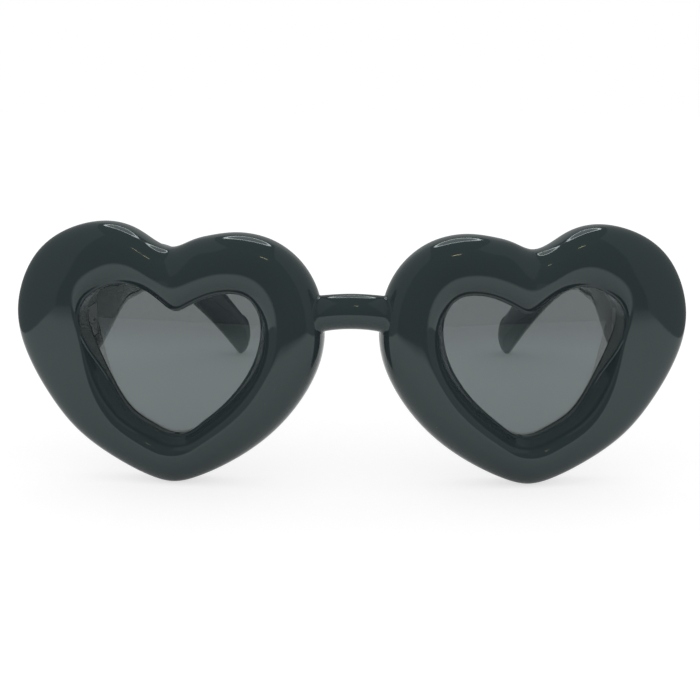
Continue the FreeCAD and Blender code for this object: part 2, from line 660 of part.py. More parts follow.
# The left side mirrors the right, and both temples stand a little folded in
nodes = {"front_moulding": front_moulding}
fixed_to_front = {
    "lens": lens_right,
    "back_cover": cover_right,
    "hinge_front_leaf": front_leaf_right,
    "front_leaf_screws": front_screws_right,
    "hinge_screw": hinge_screw_right,
}
moves_with_temple = {
    "temple": temple_right,
    "hinge_temple_leaf": temple_leaf_right,
    "temple_leaf_screws": temple_screws_right,
}
fold_right = Placement(Vector(), Rotation(UP, size("right_fold_angle")), Vector(AXIS.x, AXIS.y, 0))
fold_left = Placement(Vector(), Rotation(UP, -size("left_fold_angle")), Vector(-AXIS.x, AXIS.y, 0))
for name, right in {**fixed_to_front, **moves_with_temple}.items():
    nodes[name + "_right"] = right
    nodes[name + "_left"] = mirrored(name + "_left", right)
doc.recompute()
for name in moves_with_temple:
    for side, fold in (("_right", fold_right), ("_left", fold_left)):
        nodes[name + side].Placement = fold.multiply(nodes[name + side].Placement)

# The origin is on the surface that the glasses stand on, at the middle of their length
whole = Part.makeCompound([node.Shape for node in nodes.values()]).optimalBoundingBox(False, False)
stand = Placement(Vector(0, -(whole.YMin + whole.YMax) / 2, -whole.ZMin), Rotation())
for name, node in nodes.items():
    node.Label = name
    node.Placement = stand.multiply(node.Placement)

# Check every object and every sub-part before anything is written
for item in doc.Objects:
    if "Invalid" in item.State or "Error" in item.State:
        raise RuntimeError(f"{item.Name} failed: {item.State}")
for name, node in nodes.items():
    if node.Shape.isNull() or not node.Shape.isValid():
        raise RuntimeError(f"{name} has no valid shape")
os.makedirs("parts", exist_ok=True)
for name, node in nodes.items():
    node.Shape.exportStep(f"parts/{name}.step")
    corners = node.Shape.optimalBoundingBox(False, False)
    print(f"{name}: {len(node.Shape.Solids)} solids, {node.Shape.Volume:.1f} mm3, "
          f"x {corners.XMin:.2f} to {corners.XMax:.2f}, y {corners.YMin:.2f} to {corners.YMax:.2f}, "
          f"z {corners.ZMin:.2f} to {corners.ZMax:.2f}")
hinge_place = stand.multVec(AXIS)
print(f"right hinge axis at x {hinge_place.x:.3f}, y {hinge_place.y:.3f}")
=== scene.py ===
# Heart shaped sunglasses with puffed black rims, standing on the two heart points and the two temple tips.
#
# The object's sizes are in millimetres and repeat those of the part's source. Stage and camera are in metres.
# The right side is modelled and mirrored.
# A heart is shaped in its own flat frame, X along the heart and Y behind its widest outline, then swept back.

import json
import math

import bmesh
import bpy
import numpy
from mathutils import Matrix, Vector


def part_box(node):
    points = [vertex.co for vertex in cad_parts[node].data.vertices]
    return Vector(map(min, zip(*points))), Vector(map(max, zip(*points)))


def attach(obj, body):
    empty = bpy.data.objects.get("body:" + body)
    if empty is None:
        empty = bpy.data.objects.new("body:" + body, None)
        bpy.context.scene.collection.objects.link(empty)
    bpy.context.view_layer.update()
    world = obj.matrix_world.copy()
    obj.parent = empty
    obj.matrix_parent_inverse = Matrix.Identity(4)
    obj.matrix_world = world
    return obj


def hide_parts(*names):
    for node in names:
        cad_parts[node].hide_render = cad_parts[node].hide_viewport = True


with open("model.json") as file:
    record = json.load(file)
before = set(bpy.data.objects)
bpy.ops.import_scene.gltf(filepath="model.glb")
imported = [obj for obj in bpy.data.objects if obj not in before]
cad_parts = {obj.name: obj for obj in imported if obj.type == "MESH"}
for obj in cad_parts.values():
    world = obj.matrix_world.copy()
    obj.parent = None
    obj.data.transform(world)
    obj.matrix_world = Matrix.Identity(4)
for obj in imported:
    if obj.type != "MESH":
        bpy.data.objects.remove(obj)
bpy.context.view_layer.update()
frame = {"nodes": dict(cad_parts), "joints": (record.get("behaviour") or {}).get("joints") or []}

MILLIMETRE = 0.001
AT_MIDDLE = 1e-6

# The hearts
HEART_WIDTH = 69.5
HEART_HEIGHT = 59.0
HEARTS_GAP = 12.2
WRAP_ANGLE = math.radians(7.0)
RIM_NOSE = 13.9
RIM_OUTER = 15.2
RIM_FOOT = 10.9
RIM_TOP = 13.5
RIM_ROLL = math.radians(60.0)
RIM_WALL = 2.0
OPENING_WALL = 1.8
BACK_DEPTH = 5.5
BACK_ROUND = 2.4
SEAM_DEPTH = 3.7
SEAM_GROOVE = 0.2
SEAM_LIP = 1.2
SEAM_LIP_REACH = 1.5
SEAM_PLAY = 0.1
LENS_SEAT = 1.3
LENS_BACK = 3.1
LENS_POCKET = 1.5
COLLAR_OUTSIDE = 2.3
COLLAR_FRONT = 1.7
LENS_LIP = 0.7
LIP_BEVEL = 0.8
ROUND_POINTS = 216

# The bridge
BRIDGE_CENTRE = 40.45
BRIDGE_HEIGHT = 7.8
BRIDGE_DEPTH = 7.6
BRIDGE_FLARE = 0.35
BRIDGE_FORWARD = 1.8
BRIDGE_BOW = 2.3
BRIDGE_ARCH = 1.3
BRIDGE_ROOT = 2.6
BRIDGE_FILLET = 0.65
BRIDGE_FILLET_MORE_IN_FRONT = 0.25
BRIDGE_SINK = 0.25

# The nose pads and the temple seats
PAD_SINK = 0.5
NOSE_PAD_HEIGHT = 25.0
NOSE_PAD_INSET = 7.4
NOSE_PAD_LENGTH = 17.0
NOSE_PAD_WIDTH = 6.4
NOSE_PAD_STAND = 3.4
NOSE_PAD_LEAN = math.radians(24.0)
SEAT_STAND = 5.0
SEAT_MARGIN = 0.4
SEAT_EDGE = 0.35

# The hinges
HINGE_HEIGHT = 33.0
HINGE_INSET = 11.4
OPEN_GAP = 0.3
BARREL_RADIUS = 1.5
BARREL_ROOM = 0.35
LEAF_HEIGHT = 7.5
LEAF_THICKNESS = 1.2
LEAF_PLAY = 0.1
LEAF_SETBACK = 1.9
FRONT_LEAF_LENGTH = 5.2
TEMPLE_LEAF_LENGTH = 9.6
PIN_RADIUS = 0.7
PIN_HEAD_RADIUS = 1.25
PIN_HEAD_HEIGHT = 0.8
PIN_TAIL = 0.3
SCREW_RADIUS = 0.5
SCREW_HEAD_RADIUS = 0.95
SCREW_HEAD_HEIGHT = 0.5
SCREW_BITE = 3.0
FRONT_SCREW_SPACING = 3.8
TEMPLE_SCREW_SPACING = 5.0
DRIVE_WIDTH = 0.34
DRIVE_DEPTH = 0.3
CROSS_SHARE = 0.62
PIN_TURN = 0.6
CUT_PAST = 1

# The temples
TEMPLE_LENGTH = 141.0
ROOT_LOW = 21.8
ROOT_HIGH = 45.0
ROOT_THICKNESS = 8.4
ROOT_FLAT = 0.7
ROOT_LENGTH = 10.0
ARM_LOW = 31.6
ARM_HIGH = 43.8
ARM_THICKNESS = 6.2
FLARE_LENGTH = 36.0
EAR_BEND = 64.0
EAR_CURVE = 1.85
TIP_HEIGHT = 12.6
TIP_ROUND = 4.0
TIP_THICKNESS = 5.2
TIP_INWARD = 10.2
LEFT_FOLD = math.radians(9.2)
RIGHT_FOLD = math.radians(3.0)

# The heart's outline and its opening, clockwise from the cleft: percent of the heart's width and height,
# then percent of the opening's width and height, counted from the nose side and from the foot
HEART_ROUND = (
    (49.2, 90.7, 47.1, 83.4),
    (55.0, 92.6, 54.6, 88.6),
    (61.0, 97.0, 62.7, 95.5),
    (70.4, 100.0, 75.7, 100.0),
    (83.2, 96.8, 87.2, 97.4),
    (93.3, 87.8, 95.5, 91.3),
    (100.0, 66.9, 100.0, 78.9),
    (96.8, 47.3, 96.2, 60.5),
    (90.0, 32.5, 88.1, 39.1),
    (79.7, 17.8, 75.7, 15.3),
    (66.8, 7.3, 63.0, 5.2),
    (57.5, 2.1, 56.0, 1.2),
    (49.3, 0.0, 49.8, 0.0),
    (41.2, 2.3, 43.2, 1.3),
    (32.0, 7.5, 35.8, 7.2),
    (18.8, 18.3, 23.1, 20.0),
    (9.5, 30.1, 12.1, 35.0),
    (3.3, 42.3, 4.5, 51.2),
    (0.0, 60.0, 0.0, 73.2),
    (5.6, 82.9, 3.3, 88.9),
    (15.3, 93.1, 8.7, 94.1),
    (27.7, 96.7, 17.7, 95.5),
    (36.7, 95.5, 28.5, 92.9),
    (43.4, 93.2, 39.5, 86.8),
)
NOSE_SIDE = HEARTS_GAP / 2
SHARES = numpy.array(HEART_ROUND) / 100
OUTLINE = numpy.stack([
    NOSE_SIDE + HEART_WIDTH * SHARES[:, 0],
    numpy.zeros(len(SHARES)),
    HEART_HEIGHT * SHARES[:, 1],
], axis=1)
OPENING = numpy.stack([
    NOSE_SIDE + RIM_NOSE + (HEART_WIDTH - RIM_NOSE - RIM_OUTER) * SHARES[:, 2],
    numpy.zeros(len(SHARES)),
    RIM_FOOT + (HEART_HEIGHT - RIM_FOOT - RIM_TOP) * SHARES[:, 3],
], axis=1)
RIM_WIDTH = numpy.linalg.norm(OPENING - OUTLINE, axis=1)
INWARD = (OPENING - OUTLINE) / RIM_WIDTH[:, None]

# How far each place of the heart belongs to a side of it: where that side starts, and how soon it is reached
OUTER_START = 0.7
OUTER_REACH = 0.3
OUTER_CURVE = 1.6
SINK_START = 0.3
SINK_REACH = 0.7
UPPER_START = 0.5
UPPER_REACH = 0.4
FLAT_START = 0.93
FLAT_REACH = 0.03
FLANK_MIDDLE = 0.42
FLANK_REACH = 0.25
ACROSS_HEART = SHARES[:, 0]
UP_HEART = SHARES[:, 1]
UP_OPENING = SHARES[:, 3]


def rise(shares, start, reach):
    """Nought up to a start, then evenly up to one at a reach past it."""
    return numpy.clip((shares - start) / reach, 0, 1)


OUTER_SIDE = rise(ACROSS_HEART, OUTER_START, OUTER_REACH) ** OUTER_CURVE
OUTER_FLANK = OUTER_SIDE * numpy.clip(1 - numpy.abs(UP_HEART - FLANK_MIDDLE) / FLANK_REACH, 0, 1)
AWAY_FROM_NOSE = rise(ACROSS_HEART, SINK_START, SINK_REACH)
UPPER_SIDE = rise(UP_OPENING, UPPER_START, UPPER_REACH)
UPPER_SIDE = UPPER_SIDE ** 2 * (3 - 2 * UPPER_SIDE)
FLAT_FLANK = rise(ACROSS_HEART, FLAT_START, FLAT_REACH)

# The puff's section: the share of the rim's width at which its crest lies, and how much lower it is made.
# Towards the outer side the crest lies lower and nearer the opening, and the widest stretch of that side is
# one flank that rises almost to the opening's edge. Elsewhere it falls to that edge, most at the foot.
CREST_AT_NOSE = 0.59
CREST_OUTWARD = 0.31
CREST_UPWARD = 0.05
CREST_ON_FLAT = 0.91
CREST_SINK = 0.15
CREST_SINK_MORE_UP = 0.09
FLANK_SINK = 0.45
SHOULDER_FULLNESS = 2.4
SHOULDER_FULLER_OUTWARD = 0.6
EDGE_FALL = 0.8
EDGE_FALL_LESS_UP = 0.5
EDGE_FALL_LESS_ON_FLAT = 0.8
EDGE_CURVE = 2.8
EDGE_ROUND = 0.5
EDGE_LEAST = 0.2
CREST_SHARE = CREST_AT_NOSE + CREST_OUTWARD * OUTER_SIDE - CREST_UPWARD * UPPER_SIDE
CREST = RIM_WIDTH * (CREST_SHARE + (CREST_ON_FLAT - CREST_SHARE) * FLAT_FLANK)
CREST_KEPT = 1 - AWAY_FROM_NOSE * (CREST_SINK + CREST_SINK_MORE_UP * UP_HEART)
CREST_HEIGHT = RIM_WIDTH / (1 + math.sin(RIM_ROLL)) * CREST_KEPT - FLANK_SINK * OUTER_FLANK
SHOULDER = 2 / (SHOULDER_FULLNESS + SHOULDER_FULLER_OUTWARD * OUTER_SIDE)
EDGE_DROP = (EDGE_FALL - EDGE_FALL_LESS_UP * UPPER_SIDE) * (1 - EDGE_FALL_LESS_ON_FLAT * FLAT_FLANK)

# Places of the hinge axis, the seats and the temple roots, in the heart's frame and in the whole model's
SEAT_FACE = BACK_DEPTH + SEAT_STAND
AXIS_IN_HEART = Vector((NOSE_SIDE + HEART_WIDTH - HINGE_INSET, SEAT_FACE + OPEN_GAP, 0))
WRAP = Matrix.Rotation(WRAP_ANGLE, 4, "Z")
AXIS = WRAP @ AXIS_IN_HEART
HINGE = Vector(next(joint["pos_m"] for joint in frame["joints"] if joint["name"] == "temple_right_fold"))
LEAF_FOOT = HINGE_HEIGHT - LEAF_HEIGHT / 2
STAND = Matrix.Translation((0, HINGE.y - AXIS.y * MILLIMETRE,
                            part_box("hinge_front_leaf_right")[0].z - LEAF_FOOT * MILLIMETRE))
MODEL_TO_FRAME = STAND @ Matrix.Scale(MILLIMETRE, 4)
HEART_TO_FRAME = MODEL_TO_FRAME @ WRAP
RIGHT_HINGE = Matrix.Translation((HINGE.x, HINGE.y, 0))
LEFT_HINGE = Matrix.Translation((-HINGE.x, HINGE.y, 0))
FOLD_RIGHT = RIGHT_HINGE @ Matrix.Rotation(RIGHT_FOLD, 4, "Z") @ RIGHT_HINGE.inverted()
FOLD_LEFT = LEFT_HINGE @ Matrix.Rotation(-LEFT_FOLD, 4, "Z") @ LEFT_HINGE.inverted()
MIRROR = Matrix.Scale(-1, 4, Vector((1, 0, 0)))
ROOM_FOOT = LEAF_FOOT - PIN_TAIL - BARREL_ROOM
ROOM_TOP = LEAF_FOOT + LEAF_HEIGHT + PIN_HEAD_HEIGHT + BARREL_ROOM
FRONT_PLATE = AXIS_IN_HEART.x + LEAF_SETBACK
TEMPLE_PLATE = AXIS.y + LEAF_SETBACK
FLAT_SIDE = AXIS.x + BARREL_RADIUS - LEAF_THICKNESS
TEMPLE_MIDDLE = FLAT_SIDE - ROOT_FLAT + ROOT_THICKNESS / 2
ROOT_MIDDLE = (ROOT_LOW + ROOT_HIGH) / 2


# Modelling by hand
def deselect():
    bpy.ops.object.select_all(action="DESELECT")


def loft(name, loops, place, closed):
    """Skin through a row of loops: a circle shaped to the first, extruded to the others, then shut."""
    count = len(loops[0])
    deselect()
    bpy.ops.mesh.primitive_circle_add(vertices=count)
    piece = bpy.context.object
    piece.name = name
    bpy.ops.object.mode_set(mode="EDIT")
    bpy.ops.mesh.select_all(action="SELECT")
    skin = bmesh.from_edit_mesh(piece.data)
    for vertex, spot in zip(skin.verts, loops[0]):
        vertex.co = spot
    for step, loop in enumerate(loops[1:], start=1):
        bpy.ops.mesh.extrude_edges_indiv()
        skin = bmesh.from_edit_mesh(piece.data)
        skin.verts.index_update()
        skin.verts.ensure_lookup_table()
        for vertex in skin.verts[step * count:]:
            partners = [edge.other_vert(vertex).index for edge in vertex.link_edges]
            vertex.co = loop[min(partners) % count]
    ends = [skin.verts[:count], skin.verts[-count:]]
    for chosen in [ends] if closed else [ends[:1], ends[1:]]:
        bpy.ops.mesh.select_all(action="DESELECT")
        for end in chosen:
            for vertex in end:
                vertex.select = True
        skin.select_flush(True)
        if closed:
            bpy.ops.mesh.bridge_edge_loops()
        else:
            bpy.ops.mesh.edge_face_add()
        skin = bmesh.from_edit_mesh(piece.data)
        skin.verts.ensure_lookup_table()
        ends = [skin.verts[:count], skin.verts[-count:]]
    bpy.ops.mesh.select_all(action="SELECT")
    bpy.ops.mesh.normals_make_consistent(inside=False)
    bpy.ops.object.mode_set(mode="OBJECT")
    piece.data.transform(place)
    piece.data.update()
    return piece


def turned(name, profile, place, sides=48):
    """Round piece about the Z axis of its place, from radii and heights in order."""
    turns = [2 * math.pi * side / sides for side in range(sides)]
    loops = [[(radius * math.cos(turn), radius * math.sin(turn), height) for turn in turns]
             for radius, height in profile]
    return loft(name, loops, place, closed=False)


def block(low, high, place):
    """Plain block between two corners, to cut with."""
    deselect()
    bpy.ops.mesh.primitive_cube_add(size=1)
    tool = bpy.context.object
    middle = (Vector(low) + Vector(high)) / 2
    extent = Vector(high) - Vector(low)
    tool.data.transform(place @ Matrix.Translation(middle) @ Matrix.Diagonal((*extent, 1)))
    return tool


def combine(piece, other, operation):
    """Join another piece to this one, or cut it away, and drop it."""
    deselect()
    bpy.context.view_layer.objects.active = piece
    step = piece.modifiers.new(operation.lower(), "BOOLEAN")
    step.operation = operation
    step.solver = "EXACT"
    step.object = other
    bpy.ops.object.modifier_apply(modifier=step.name)
    bpy.data.objects.remove(other)


def smooth(piece, degrees):
    """Smooth shading over edges flatter than an angle."""
    deselect()
    piece.select_set(True)
    bpy.context.view_layer.objects.active = piece
    bpy.ops.object.shade_smooth_by_angle(angle=math.radians(degrees))


def join(pieces):
    """One object from several pieces."""
    deselect()
    for piece in pieces:
        piece.select_set(True)
    bpy.context.view_layer.objects.active = pieces[0]
    bpy.ops.object.join()
    return pieces[0]


def mirrored(piece, name, turn=Matrix.Identity(4)):
    """Left-hand copy of a right-hand piece, with its own mesh."""
    copy = piece.copy()
    copy.data = piece.data.copy()
    copy.name = name
    bpy.context.scene.collection.objects.link(copy)
    copy.data.transform(turn @ MIRROR)
    copy.data.flip_normals()
    return copy


def open_middle(half):
    """Take away the face that shuts a half piece at the middle of the object."""
    deselect()
    half.select_set(True)
    bpy.context.view_layer.objects.active = half
    bpy.ops.object.mode_set(mode="EDIT")
    bpy.ops.mesh.select_all(action="DESELECT")
    skin = bmesh.from_edit_mesh(half.data)
    for face in skin.faces:
        if all(abs(vertex.co.x) < AT_MIDDLE for vertex in face.verts):
            face.select = True
    bpy.ops.mesh.delete(type="FACE")
    bpy.ops.object.mode_set(mode="OBJECT")


def weld_middle(piece):
    """Merge the points of two joined halves where they meet at the middle of the object."""
    bpy.ops.object.mode_set(mode="EDIT")
    bpy.ops.mesh.select_all(action="DESELECT")
    skin = bmesh.from_edit_mesh(piece.data)
    for vertex in skin.verts:
        vertex.select = abs(vertex.co.x) < AT_MIDDLE
    skin.select_flush(True)
    bpy.ops.mesh.remove_doubles(threshold=AT_MIDDLE)
    bpy.ops.object.mode_set(mode="OBJECT")


# Loops round the rim
def rim_weights():
    """How much each place of the heart counts in each point of a smooth closed curve through all of them."""
    count = len(HEART_ROUND)
    middle = (OUTLINE + OPENING) / 2
    spans = numpy.linalg.norm(numpy.roll(middle, -1, axis=0) - middle, axis=1)
    knots = numpy.concatenate([[0], numpy.cumsum(spans)])
    of_slopes = numpy.zeros((count, count))
    of_places = numpy.zeros((count, count))
    for here in range(count):
        before, after = here - 1, (here + 1) % count
        near, far = 1 / spans[before], 1 / spans[here]
        of_slopes[here, before] += near
        of_slopes[here, here] += 2 * (near + far)
        of_slopes[here, after] += far
        of_places[here, before] -= 3 * near ** 2
        of_places[here, here] += 3 * (near ** 2 - far ** 2)
        of_places[here, after] += 3 * far ** 2
    slopes = numpy.linalg.solve(of_slopes, of_places)
    places = numpy.eye(count)
    weights = []
    for spot in numpy.linspace(0, knots[-1], ROUND_POINTS, endpoint=False):
        here = int(numpy.searchsorted(knots, spot, side="right")) - 1
        after = (here + 1) % count
        share = (spot - knots[here]) / spans[here]
        rest = 1 - share
        weights.append(rest ** 2 * ((1 + 2 * share) * places[here] + share * spans[here] * slopes[here])
                       + share ** 2 * ((3 - 2 * share) * places[after] - rest * spans[here] * slopes[after]))
    return numpy.array(weights)


RIM_WEIGHTS = rim_weights()


def rim_loop(across, back):
    """Loop round the rim, at a distance in from the outline and a depth behind it at each place."""
    places = OUTLINE + INWARD * numpy.reshape(across, (-1, 1))
    places[:, 1] += back
    return (RIM_WEIGHTS @ places).tolist()


def puff_loop(share, wall=0.0, edge=EDGE_ROUND):
    """Loop on the puffed section, or on a wall inside it: 0 at the outline, 1 on the crest, 2 at the edge."""
    crest = numpy.minimum(CREST, RIM_WIDTH - edge - EDGE_LEAST)
    if share <= 1:
        turn = share * math.pi / 2
        return rim_loop(crest - (crest - wall) * math.cos(turn) ** SHOULDER,
                        -(CREST_HEIGHT - wall) * math.sin(turn) ** SHOULDER)
    span = RIM_WIDTH - EDGE_ROUND - crest
    inward = (RIM_WIDTH - edge - crest) * (share - 1)
    return rim_loop(crest + inward, -(CREST_HEIGHT - wall) * (1 - EDGE_DROP * (inward / span) ** EDGE_CURVE))


def back_edge_loop(angle, inset=0.0):
    """Loop on the rounded back edge, at an angle from the outline towards the back."""
    return rim_loop(BACK_ROUND * (1 - math.cos(angle)) + inset, BACK_DEPTH * math.sin(angle))


SEAM_ANGLE = math.asin(SEAM_DEPTH / BACK_DEPTH)


def puffed_front():
    """Both puffed rims, hollow behind, with their seam edge, lens seat and the round bridge between them."""
    loops = [back_edge_loop(SEAM_ANGLE, SEAM_GROOVE)]
    loops += [back_edge_loop(SEAM_ANGLE * share) for share in (0.94, 0.8, 0.6, 0.4, 0.2)]
    shoulder_steps = 26
    crowding = 1.3
    loops += [puff_loop((step / shoulder_steps) ** crowding) for step in range(shoulder_steps)]
    edge_steps = 18
    loops += [puff_loop(1 + step / edge_steps) for step in range(edge_steps + 1)]
    edge_forward = -CREST_HEIGHT * (1 - EDGE_DROP)
    for turn in (20, 40, 60, 80):
        across = EDGE_ROUND * (1 - math.sin(math.radians(turn)))
        down = 2 * EDGE_ROUND * (1 - math.cos(math.radians(turn)))
        loops.append(rim_loop(RIM_WIDTH - across, edge_forward + down))
    for share in (0.3, 0.65, 1):
        loops.append(rim_loop(RIM_WIDTH, edge_forward + (LENS_SEAT - edge_forward) * share))
    loops.append(rim_loop(RIM_WIDTH - OPENING_WALL, LENS_SEAT))
    hollow_steps = 6
    loops += [puff_loop(2 - 2 * step / hollow_steps, RIM_WALL, OPENING_WALL)
              for step in range(hollow_steps + 1)]
    loops.append(rim_loop(RIM_WALL, SEAM_DEPTH))
    front = loft("puffed_front", loops, HEART_TO_FRAME, closed=True)
    combine(front, half_bridge(front), "UNION")
    open_middle(front)
    front = join([front, mirrored(front, "left_half")])
    weld_middle(front)
    smooth(front, degrees=40)
    return front


def bridge_spot(across, turn, grow=0.0):
    """Point on the bowed and arched bridge, at a distance from its middle and a turn round it."""
    share = across / (NOSE_SIDE + BRIDGE_ROOT)
    grow += BRIDGE_FLARE * abs(share) ** 3
    return Vector((across,
                   BRIDGE_BOW * share ** 2 - BRIDGE_FORWARD + (BRIDGE_DEPTH / 2 + grow) * math.cos(turn),
                   BRIDGE_CENTRE - BRIDGE_ARCH * share ** 2 + (BRIDGE_HEIGHT / 2 + grow) * math.sin(turn)))


def meets_rim(rim, turn, grow=0.0):
    """Where a line along the bridge, or a little outside it, meets the right rim, and the rim's normal."""
    across = NOSE_SIDE
    tries = 6
    for _ in range(tries):
        start = bridge_spot(across, turn, grow)
        start.x = 0
        found, spot, normal, _ = rim.ray_cast(MODEL_TO_FRAME @ start, (1, 0, 0))
        if not found:
            raise RuntimeError(f"the bridge misses the rim at {math.degrees(turn):.0f} degrees")
        spot = MODEL_TO_FRAME.inverted() @ spot
        across = spot.x
    return spot, normal


def half_bridge(rim):
    """Right half of the round bar between the hearts, with a hollow fillet where it runs into the rim."""
    sides = 96
    bar_steps = 16
    fillet_steps = 7
    bpy.context.view_layer.update()
    columns = []
    for side in range(sides):
        turn = 2 * math.pi * side / sides
        fillet = BRIDGE_FILLET - BRIDGE_FILLET_MORE_IN_FRONT * math.cos(turn)
        corner, _ = meets_rim(rim, turn)
        foot, normal = meets_rim(rim, turn, fillet)
        bar_end = corner.x - fillet
        column = [bridge_spot(bar_end * step / bar_steps, turn) for step in range(bar_steps + 1)]
        start = column[-1]
        for step in range(1, fillet_steps + 1):
            share = step / fillet_steps
            column.append(start.lerp(corner, share).lerp(corner.lerp(foot, share), share))
        column.append(foot - normal * BRIDGE_SINK)
        columns.append(column)
    return loft("bridge", list(zip(*columns)), MODEL_TO_FRAME, closed=False)


def rim_back():
    """Back cover of the right rim: rounded edge, flat back, lens lip, temple seat and nose pad."""
    loops = [back_edge_loop(SEAM_ANGLE, SEAM_GROOVE)]
    edge_steps = 8
    loops += [back_edge_loop(SEAM_ANGLE + (math.pi / 2 - SEAM_ANGLE) * step / edge_steps)
              for step in range(1, edge_steps + 1)]
    loops.append(rim_loop(RIM_WIDTH - LENS_LIP - LIP_BEVEL, BACK_DEPTH))
    loops.append(rim_loop(RIM_WIDTH - LENS_LIP, BACK_DEPTH - LIP_BEVEL))
    loops.append(rim_loop(RIM_WIDTH - LENS_LIP, LENS_BACK))
    loops.append(rim_loop(RIM_WIDTH - LENS_POCKET, LENS_BACK))
    loops.append(rim_loop(RIM_WIDTH - LENS_POCKET, COLLAR_FRONT))
    loops.append(rim_loop(RIM_WIDTH - COLLAR_OUTSIDE, COLLAR_FRONT))
    loops.append(rim_loop(RIM_WIDTH - COLLAR_OUTSIDE, SEAM_DEPTH))
    lip_outside = RIM_WALL + SEAM_PLAY
    lip_front = SEAM_DEPTH - SEAM_LIP_REACH
    loops.append(rim_loop(lip_outside + SEAM_LIP, SEAM_DEPTH))
    loops.append(rim_loop(lip_outside + SEAM_LIP, lip_front))
    loops.append(rim_loop(lip_outside, lip_front))
    loops.append(rim_loop(lip_outside, SEAM_DEPTH))
    cover = loft("rim_back_right", loops, HEART_TO_FRAME, closed=True)
    combine(cover, temple_seat(), "UNION")
    combine(cover, nose_pad(), "UNION")
    pocket = block((AXIS_IN_HEART.x, SEAT_FACE - LEAF_THICKNESS, LEAF_FOOT - LEAF_PLAY),
                   (FRONT_PLATE + FRONT_LEAF_LENGTH + LEAF_PLAY, SEAT_FACE + OPEN_GAP,
                    LEAF_FOOT + LEAF_HEIGHT + LEAF_PLAY), HEART_TO_FRAME)
    combine(cover, pocket, "DIFFERENCE")
    combine(cover, barrel_room(AXIS_IN_HEART, HEART_TO_FRAME), "DIFFERENCE")
    smooth(cover, degrees=35)
    return cover


def barrel_room(axis, place):
    """Room round the hinge barrels, to cut with."""
    radius = BARREL_RADIUS + BARREL_ROOM
    return turned("barrel_room", [(radius, ROOM_FOOT), (radius, ROOM_TOP)],
                  place @ Matrix.Translation((axis.x, axis.y, 0)))


def temple_seat():
    """Pad on the cover that the open temple stands against, with a rounded edge."""
    sides = 72
    across = (TEMPLE_MIDDLE + SEAT_FACE * math.sin(WRAP_ANGLE)) / math.cos(WRAP_ANGLE)
    half_height = (ROOT_HIGH - ROOT_LOW) / 2 + SEAT_MARGIN
    half_width = ROOT_THICKNESS / 2 + SEAT_MARGIN
    rows = [(0.0, BACK_DEPTH - PAD_SINK), (0.0, SEAT_FACE - SEAT_EDGE)]
    rows += [(SEAT_EDGE * (1 - math.cos(math.radians(turn))),
              SEAT_FACE - SEAT_EDGE * (1 - math.sin(math.radians(turn)))) for turn in (30, 60, 90)]
    loops = []
    for inset, depth in rows:
        loops.append([(across + (half_width - inset) * math.cos(2 * math.pi * side / sides), depth,
                       ROOT_MIDDLE + (half_height - inset) * math.sin(2 * math.pi * side / sides))
                      for side in range(sides)])
    return loft("temple_seat", loops, HEART_TO_FRAME, closed=False)


def nose_pad():
    """Half sunk egg shaped pad, leaning along the nose."""
    deselect()
    bpy.ops.mesh.primitive_uv_sphere_add(segments=64, ring_count=32, radius=1)
    pad = bpy.context.object
    shape = Matrix.Diagonal((NOSE_PAD_WIDTH / 2, NOSE_PAD_STAND + PAD_SINK, NOSE_PAD_LENGTH / 2, 1))
    lean = Matrix.Rotation(-NOSE_PAD_LEAN, 4, "Y")
    middle = Matrix.Translation((NOSE_SIDE + NOSE_PAD_INSET, BACK_DEPTH - PAD_SINK, NOSE_PAD_HEIGHT))
    pad.data.transform(HEART_TO_FRAME @ middle @ lean @ shape)
    hidden = block((NOSE_SIDE - HEART_WIDTH, -HEART_WIDTH, 0),
                   (HEART_WIDTH, BACK_DEPTH - PAD_SINK, HEART_HEIGHT), HEART_TO_FRAME)
    combine(pad, hidden, "DIFFERENCE")
    return pad


def ease(share):
    """Smooth step from 0 to 1."""
    share = min(max(share, 0.0), 1.0)
    return share * share * (3 - 2 * share)


def between(first, second, share):
    return first + (second - first) * share


TIP_CORNER = TEMPLE_LENGTH - TIP_ROUND


def temple_loop(distance):
    """Rounded upright section of the temple at a distance behind the hinge axis."""
    sides = 72
    flare = ease((distance - ROOT_LENGTH) / FLARE_LENGTH)
    past_bend = max(distance - EAR_BEND, 0.0)
    to_tip = past_bend / (TIP_CORNER - EAR_BEND)
    low = between(ROOT_LOW, ARM_LOW, flare) - ARM_LOW * to_tip ** EAR_CURVE
    height = between(ROOT_HIGH - ROOT_LOW, ARM_HIGH - ARM_LOW, flare)
    height = between(height, TIP_HEIGHT, min(to_tip, 1.0))
    thickness = between(between(ROOT_THICKNESS, ARM_THICKNESS, flare), TIP_THICKNESS, min(to_tip, 1.0))
    inward = TIP_INWARD * (past_bend / (TEMPLE_LENGTH - EAR_BEND)) ** 2
    shrink = 1.0
    if distance > TIP_CORNER:
        low = 0.0
        shrink = math.sqrt(1 - ((distance - TIP_CORNER) / TIP_ROUND) ** 2)
    loop = []
    for side in range(sides):
        turn = 2 * math.pi * side / sides
        loop.append((TEMPLE_MIDDLE - inward + thickness / 2 * shrink * math.cos(turn), AXIS.y + distance,
                     low + height / 2 * (1 + shrink * math.sin(turn))))
    return loop


